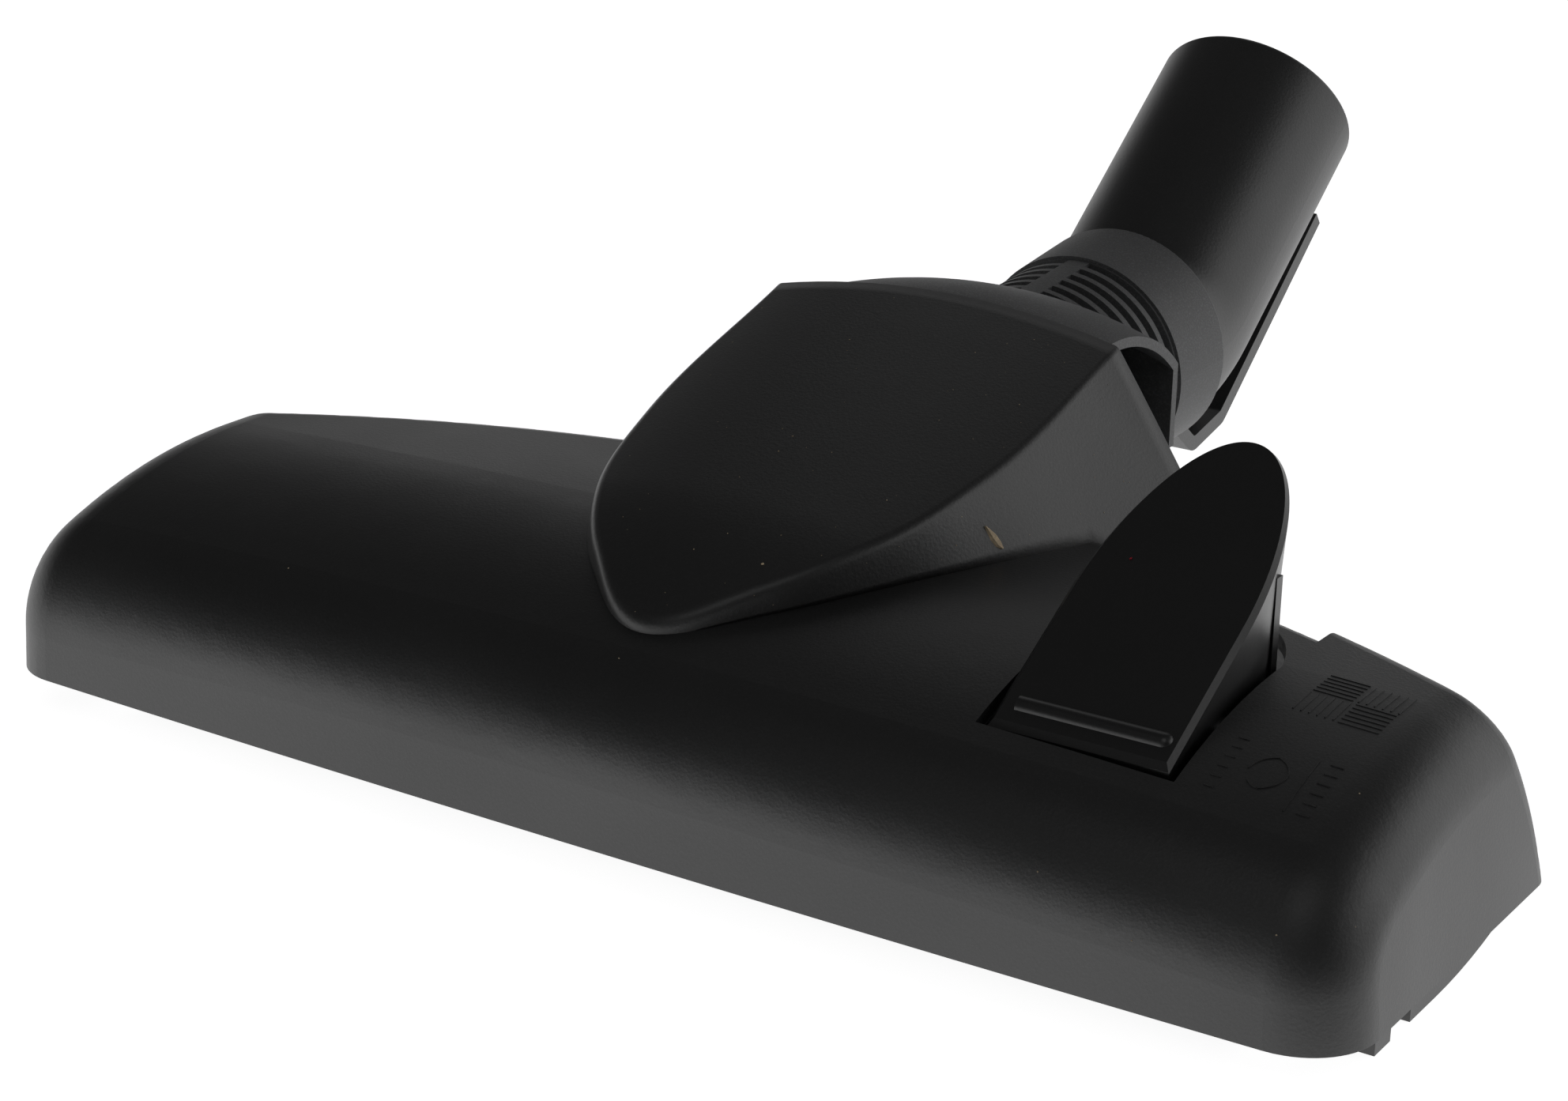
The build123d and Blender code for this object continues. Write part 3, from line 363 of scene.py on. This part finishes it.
def rear_share():
    """How far along the last span the cover's rear edge lies."""
    low, high = 0.0, 1.0
    for _ in range(rear_tries):
        share = (low + high) / 2
        if wall_point(len(span_steps) - 1, share, cover_rear_top).y < cover_rear:
            low = share
        else:
            high = share
    return low


def settle(span, share, height):
    """Height at which the wall meets a surface given by its height."""
    z = (cover_foot_z + cover_head_z) / 2
    for _ in range(settle_tries):
        place = wall_point(span, share, z)
        z = (z + height(place)) / 2
    return z


def hood_height(place):
    """Height of the hood at a place, or of the cover's skirt if that is higher."""
    point, _ = below(place.x, place.y, hood_tree)
    return max(cover_skirt_z, point.z / mm if point else 0.0)


def cover_profile(span, share):
    """Points up the right wall, round the crease and over the top to the ridge."""
    crease_z = settle(span, share, lambda place: top_z(place.x, place.y))
    crease = wall_point(span, share, crease_z)
    along = (crease.y - cover_nose.y) / (cover_rear - cover_nose.y)
    radius = crease_round_nose + (crease_round - crease_round_nose) * along
    foot_z = min(settle(span, share, hood_height), crease_z - 2 * radius)
    spine_y = cover_nose.y + spine_start + (cover_rear - cover_nose.y - spine_start) * along
    row = []
    for step in range(wall_steps):
        row.append(wall_point(span, share, foot_z + (crease_z - radius - foot_z) * step / wall_steps))
    low = wall_point(span, share, crease_z - radius)
    inward = Vector((-crease.x, spine_y - crease.y, 0.0))
    reach = radius / inward.length
    high = crease + inward * reach
    high.z = top_z(high.x, high.y)
    for step in range(crease_steps + 1):
        t = step / crease_steps
        row.append(low * (1 - t) ** 2 + crease * 2 * t * (1 - t) + high * t ** 2)
    for step in range(1, top_steps + 1):
        place = crease + inward * (reach + (1 - reach) * step / top_steps)
        row.append(Vector((place.x, place.y, top_z(place.x, place.y))))
    return row


def make_cover():
    """The cover's skin, with its wall, in the place of the solid."""
    rows = []
    last = len(span_steps) - 1
    for span, steps in enumerate(span_steps):
        reach = rear_share() if span == last else 1.0
        for step in range(steps):
            rows.append(cover_profile(span, reach * step / steps))
    rows.append([Vector((p.x, cover_rear, p.z)) for p in cover_profile(last, rear_share())])
    shape = bmesh.new()
    for side in (1, -1):
        grid = [[shape.verts.new(Vector((side * p.x, p.y, p.z)) * mm) for p in row] for row in rows]
        for near, far in zip(grid, grid[1:]):
            for place in range(len(near) - 1):
                quad = [near[place], far[place], far[place + 1], near[place + 1]]
                shape.faces.new(quad[::side])
    bmesh.ops.remove_doubles(shape, verts=shape.verts[:], dist=cover_weld * mm)
    bmesh.ops.dissolve_degenerate(shape, edges=shape.edges[:], dist=cover_weld * mm)
    cover = piece_from("joint_cover_skin", shape, shell_plastic, "base")
    wall = cover.modifiers.new("wall", "SOLIDIFY")
    wall.thickness = cover_wall * mm
    wall.offset = -1.0
    even = cover.modifiers.new("even", "WEIGHTED_NORMAL")
    even.keep_sharp = True
    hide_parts("joint_cover")
    return tree_of(cover.data)


cover_tree = make_cover()

# Raised lines on the dome, each a low ridge that follows the surface
line_half = 0.17 * mm
line_rise = 0.13 * mm
line_step = 0.6
line_flat = 0.6


def add_line(shape, start, end, bow=0.0):
    span = math.dist(start, end)
    count = max(int(span / line_step), 2)
    rows = []
    for step in range(count + 1):
        share = step / count
        swell = bow * 4 * share * (1 - share)
        across = (-(end[1] - start[1]) / span, (end[0] - start[0]) / span)
        x = start[0] + (end[0] - start[0]) * share + across[0] * swell
        y = start[1] + (end[1] - start[1]) * share + across[1] * swell
        rows.append(below(x, y, hood_tree))
    loops = []
    for step, (point, normal) in enumerate(rows):
        ahead = rows[min(step + 1, count)][0] - rows[max(step - 1, 0)][0]
        side = normal.cross(ahead).normalized() * line_half
        foot = normal * line_half
        loops.append([shape.verts.new(point - side - foot),
                      shape.verts.new(point - side * line_flat + normal * line_rise),
                      shape.verts.new(point + side * line_flat + normal * line_rise),
                      shape.verts.new(point + side - foot)])
    join_rings(shape, loops, closed=False)
    shape.faces.new(loops[0])
    shape.faces.new(reversed(loops[-1]))


# Hard floor sign: four fields of short lines, laid like wood blocks
floor_sign = bmesh.new()
sign_x = (98.5, 105.6, 112.7)
sign_y = (-2.0, 5.0, 12.0)
sign_margin = 0.4
lines_each = 6
for column in (0, 1):
    for row in (0, 1):
        x0 = sign_x[column] + sign_margin
        x1 = sign_x[column + 1] - sign_margin
        y0 = sign_y[row] + sign_margin
        y1 = sign_y[row + 1] - sign_margin
        for number in range(lines_each):
            share = number / (lines_each - 1)
            if column == row:
                x = x0 + (x1 - x0) * share
                add_line(floor_sign, (x, y0), (x, y1))
            else:
                y = y0 + (y1 - y0) * share
                add_line(floor_sign, (x0, y), (x1, y))
piece_from("hard_floor_sign", floor_sign, shell_plastic, "base", smooth=False)

# Carpet sign: a looped pile between two fringes, the right one on a long line
carpet_sign = bmesh.new()
fringe_count = 6
fringe_start = -23.0
fringe_pitch = 2.2
left_fringe = (95.6, 97.2)
right_fringe = (109.8, 111.8)
edge_line = [(108.0, -23.4), (108.0, -11.6)]
pile_loop = [(99.8, -17.6), (102.8, -13.8), (105.6, -17.0), (102.9, -20.8), (100.6, -19.6)]
pile_bow = 0.14
for number in range(fringe_count):
    y = fringe_start + fringe_pitch * number
    for near, far in (left_fringe, right_fringe):
        add_line(carpet_sign, (near, y), (far, y))
add_line(carpet_sign, edge_line[0], edge_line[1])
for start, end in zip(pile_loop, pile_loop[1:]):
    add_line(carpet_sign, start, end, bow=pile_bow * math.dist(start, end))
piece_from("carpet_sign", carpet_sign, shell_plastic, "base", smooth=False)

# Dust, a red fleck and a small wood splinter, at the photo pixels where they lie
grain_least = 0.7
grain_spread = 0.6
grain_flat = 0.4
grain_lift = 0.3


def speck(shape, px, py, tree, size):
    """A small uneven lump, flattened on its surface."""
    point, normal = seen_at(px, py, tree)
    made = bmesh.ops.create_icosphere(shape, subdivisions=1, radius=size)
    for vert in made["verts"]:
        vert.co *= grain_least + grain_spread * chance.random()
        vert.co -= normal * vert.co.dot(normal) * grain_flat
        vert.co += point + normal * size * grain_lift


hood_specks = [(365, 719), (783, 833), (1432, 1190), (1313, 1103), (1615, 1183), (1683, 868), (1720, 1004)]
cover_specks = [(965, 714), (878, 695), (985, 571), (1234, 446), (1290, 512), (1122, 633), (1003, 552),
                (1210, 690), (1075, 430)]
large_speck = (965, 714)
hood_speck_size = 0.13 * mm
cover_speck_size = 0.12 * mm
large_speck_size = 0.26 * mm
fine_specks = 90
fine_least = 0.04
fine_most = 0.09
wedge_left, wedge_top, wedge_right, wedge_bottom = (760, 370, 1440, 780)
dust = bmesh.new()
for px, py in hood_specks:
    speck(dust, px, py, hood_tree, hood_speck_size)
for px, py in cover_specks:
    speck(dust, px, py, cover_tree, cover_speck_size)
speck(dust, large_speck[0], large_speck[1], cover_tree, large_speck_size)
for _ in range(fine_specks):
    px = chance.uniform(wedge_left, wedge_right)
    py = chance.uniform(wedge_top, wedge_bottom)
    if seen_at(px, py, cover_tree)[0] is not None:
        speck(dust, px, py, cover_tree, chance.uniform(fine_least, fine_most) * mm)
piece_from("dust_specks", dust, lint, "base")

fleck = bmesh.new()
fleck_place = (1431, 707)
fleck_size = 0.24 * mm
speck(fleck, fleck_place[0], fleck_place[1], pedal_tree, fleck_size)
piece_from("red_fleck", fleck, red_fleck, "pedal_body")

# The splinter: pixel and half width at stations from end to end, with an uneven ridge
splinter_stations = [(1246, 666, 0.12), (1251, 672, 0.42), (1257, 680, 0.75), (1263, 688, 0.7),
                     (1268, 694, 0.25)]
splinter_tip = (1243, 662)
splinter_rise = 0.35 * mm
ridge_left = 0.4
ridge_right = 0.7
ridge_right_rise = 0.8
splinter = bmesh.new()
rings = []
previous = seen_at(splinter_tip[0], splinter_tip[1], cover_tree)[0]
for px, py, half in splinter_stations:
    point, normal = seen_at(px, py, cover_tree)
    side = normal.cross(point - previous).normalized() * half * mm
    top = normal * splinter_rise
    rings.append([splinter.verts.new(point - side),
                  splinter.verts.new(point - side * ridge_left + top),
                  splinter.verts.new(point + side * ridge_right + top * ridge_right_rise),
                  splinter.verts.new(point + side)])
    previous = point
join_rings(splinter, rings, closed=True)
splinter.faces.new(rings[0])
splinter.faces.new(reversed(rings[-1]))
piece_from("wood_splinter", splinter, splinter_wood, "base", smooth=False)

# Bristle strips: a backing bar and tufts of single hairs, in the place of the plain solids
bar_thick = 1.5 * mm
bar_bevel = 0.2 * mm
tuft_count = 40
tuft_end_gap = 2.2 * mm
tuft_half_x = 1.3 * mm
tuft_half_y = 1.2 * mm
hair_count = 26
hair_half = 0.13 * mm
hair_root = 0.1 * mm
hair_taper = 0.45
hair_shares = (0.0, 0.5, 1.0)
hair_corners = (0.0, 2.1, 4.2)
splay_x = 0.6
splay_y = 0.7
short_least = 0.05
short_most = 0.7


def bristle_row(node):
    low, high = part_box(node)
    bar_bottom = high.z - bar_thick
    mid_y = (low.y + high.y) / 2
    shape = bmesh.new()
    bar = bmesh.ops.create_cube(shape, size=1.0)
    for vert in bar["verts"]:
        vert.co.x *= high.x - low.x
        vert.co.y = mid_y + vert.co.y * (high.y - low.y)
        vert.co.z = (bar_bottom + high.z) / 2 + vert.co.z * (high.z - bar_bottom)
    bmesh.ops.bevel(shape, geom=shape.edges[:], offset=bar_bevel, segments=2, affect="EDGES")
    tuft_run = high.x - low.x - 2 * tuft_end_gap
    for tuft in range(tuft_count):
        centre_x = low.x + tuft_end_gap + tuft_run * tuft / (tuft_count - 1)
        for _ in range(hair_count):
            angle = chance.uniform(0, 2 * math.pi)
            reach = math.sqrt(chance.random())
            out_x = reach * math.cos(angle)
            out_y = reach * math.sin(angle)
            root = Vector((centre_x + tuft_half_x * out_x, mid_y + tuft_half_y * out_y,
                           bar_bottom + hair_root))
            splay = Vector((splay_x * out_x, splay_y * out_y, 0.0)) * mm
            length = bar_bottom - low.z - chance.uniform(short_least, short_most) * mm
            loops = []
            for share in hair_shares:
                centre = root + splay * share ** 2 - Vector((0, 0, length * share))
                size = hair_half * (1.0 - hair_taper * share)
                loops.append([shape.verts.new(centre + Vector((size * math.cos(a), size * math.sin(a), 0)))
                              for a in hair_corners])
            join_rings(shape, loops, closed=True)
            shape.faces.new(loops[-1])
    row = piece_from(node + "_hairs", shape, bristle, "brush_body", smooth=False)
    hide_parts(node)


bristle_row("bristle_strip_front")
bristle_row("bristle_strip_rear")

# Floor: a white table that keeps the shadow; past a line at its front right, reflections see painted shade
# where the table's light falls off
unlit = Vector((0.83, -0.55, 0.0))
floor_half = 4.0
floor_drop = 0.2 * mm
floor_level = 0.9
floor_glow = 0.93
# Where the painted shade starts, how fast it fades in, how much it takes over and how dark it is
painted_shade_x = 0.12
painted_shade_y = -0.05
painted_shade_fade = 0.08
painted_shade_share = 0.95
painted_shade_level = 0.02
floor_mesh = bpy.data.meshes.new("floor")
floor_mesh.from_pydata([(-floor_half, -floor_half, 0.0), (floor_half, -floor_half, 0.0),
                        (floor_half, floor_half, 0.0), (-floor_half, floor_half, 0.0)], [], [(0, 1, 2, 3)])
floor = bpy.data.objects.new("floor", floor_mesh)
floor.location.z = cad_low.z - floor_drop
scene.collection.objects.link(floor)
floor_paint, graph = new_graph("floor_paint")
path = graph.add("ShaderNodeLightPath")
seen = graph.maths("MAXIMUM", path.outputs["Is Camera Ray"], path.outputs["Is Glossy Ray"])
paper = graph.add("ShaderNodeBsdfDiffuse", {"Color": shade(floor_level, white)})
glow = graph.add("ShaderNodeEmission", {"Color": shade(1.0, white)})
graph.link(graph.maths("MULTIPLY", seen, floor_glow), glow.inputs["Strength"])
both = graph.add("ShaderNodeAddShader")
graph.link(paper.outputs["BSDF"], both.inputs[0])
graph.link(glow.outputs["Emission"], both.inputs[1])
spot = graph.add("ShaderNodeSeparateXYZ")
graph.link(graph.add("ShaderNodeTexCoord").outputs["Object"], spot.inputs["Vector"])
past_x = graph.maths("SUBTRACT", spot.outputs["X"], painted_shade_x)
past_y = graph.maths("SUBTRACT", spot.outputs["Y"], painted_shade_y)
past = graph.maths("ADD", graph.maths("MULTIPLY", past_x, unlit.x), graph.maths("MULTIPLY", past_y, unlit.y))
dim = graph.maths("MULTIPLY", graph.ramp(past, 0.0, painted_shade_fade, 0.0, painted_shade_share), path.outputs["Is Glossy Ray"])
# Painted shade: a near-black floor seen only by glossy rays, standing in for the dim front right of the
# table
floor_painted_shade = graph.add("ShaderNodeBsdfDiffuse", {"Color": shade(painted_shade_level, white)})
surface = graph.add("ShaderNodeMixShader")
graph.link(dim, surface.inputs["Fac"])
graph.link(both.outputs["Shader"], surface.inputs[1])
graph.link(floor_painted_shade.outputs["BSDF"], surface.inputs[2])
graph.link(surface.outputs["Shader"], graph.add("ShaderNodeOutputMaterial").inputs["Surface"])
floor_mesh.materials.append(floor_paint)

# World: a low bright band, a bright wall at the right, a dark room above, white to the camera
bright_side = Vector((0.9, 0.43, 0.0))
bright = 0.95
gloom = 0.05
band_tilt = 0.12
band_fade = 0.2
wall_tilt = 0.6
wall_low = -0.04
wall_high = 0.26
unlit_start = 0.65
unlit_full = 0.9
world = bpy.data.worlds.new("studio")
scene.world = world
world.use_nodes = True
graph = Graph(world.node_tree)
path = graph.add("ShaderNodeLightPath")
direction = graph.add("ShaderNodeSeparateXYZ")
graph.link(graph.add("ShaderNodeTexCoord").outputs["Generated"], direction.inputs["Vector"])


def facing(heading):
    """How far a direction of the world points along a level heading."""
    along_x = graph.maths("MULTIPLY", direction.outputs["X"], heading.x)
    return graph.maths("ADD", along_x, graph.maths("MULTIPLY", direction.outputs["Y"], heading.y))


def raised(heading, tilt):
    """Height of a direction above a horizon that is tilted up along a heading."""
    return graph.maths("SUBTRACT", direction.outputs["Z"], graph.maths("MULTIPLY", facing(heading), tilt))


low_band = graph.ramp(raised(forward, band_tilt), 0.0, band_fade, bright, gloom)
right_wall = graph.ramp(raised(bright_side, wall_tilt), wall_low, wall_high, bright, 0.0)
shaded = graph.ramp(facing(unlit), unlit_start, unlit_full, 1.0, gloom)
sky = graph.maths("MULTIPLY", graph.maths("MAXIMUM", low_band, right_wall), shaded)
strength = graph.maths("MAXIMUM", sky, path.outputs["Is Camera Ray"])
backdrop = graph.add("ShaderNodeBackground", {"Color": shade(1.0, white)})
graph.link(strength, backdrop.inputs["Strength"])
graph.link(backdrop.outputs["Background"], graph.add("ShaderNodeOutputWorld").inputs["Surface"])


# Soft lamps: a wide one high in front and a weaker one high behind
def soft_lamp(name, heading, power, size=0.7, away=1.2):
    light = bpy.data.lights.new(name, "AREA")
    light.energy = power
    light.size = size
    lamp = bpy.data.objects.new(name, light)
    lamp.location = aim + heading.normalized() * away
    lamp.rotation_euler = heading.to_track_quat("Z", "Y").to_euler()
    scene.collection.objects.link(lamp)


soft_lamp("front_lamp", Vector((0.2, -0.6, 0.77)), 0.7)
soft_lamp("rear_lamp", Vector((-0.3, 0.75, 0.6)), 0.35)

scene.view_settings.view_transform = "Standard"
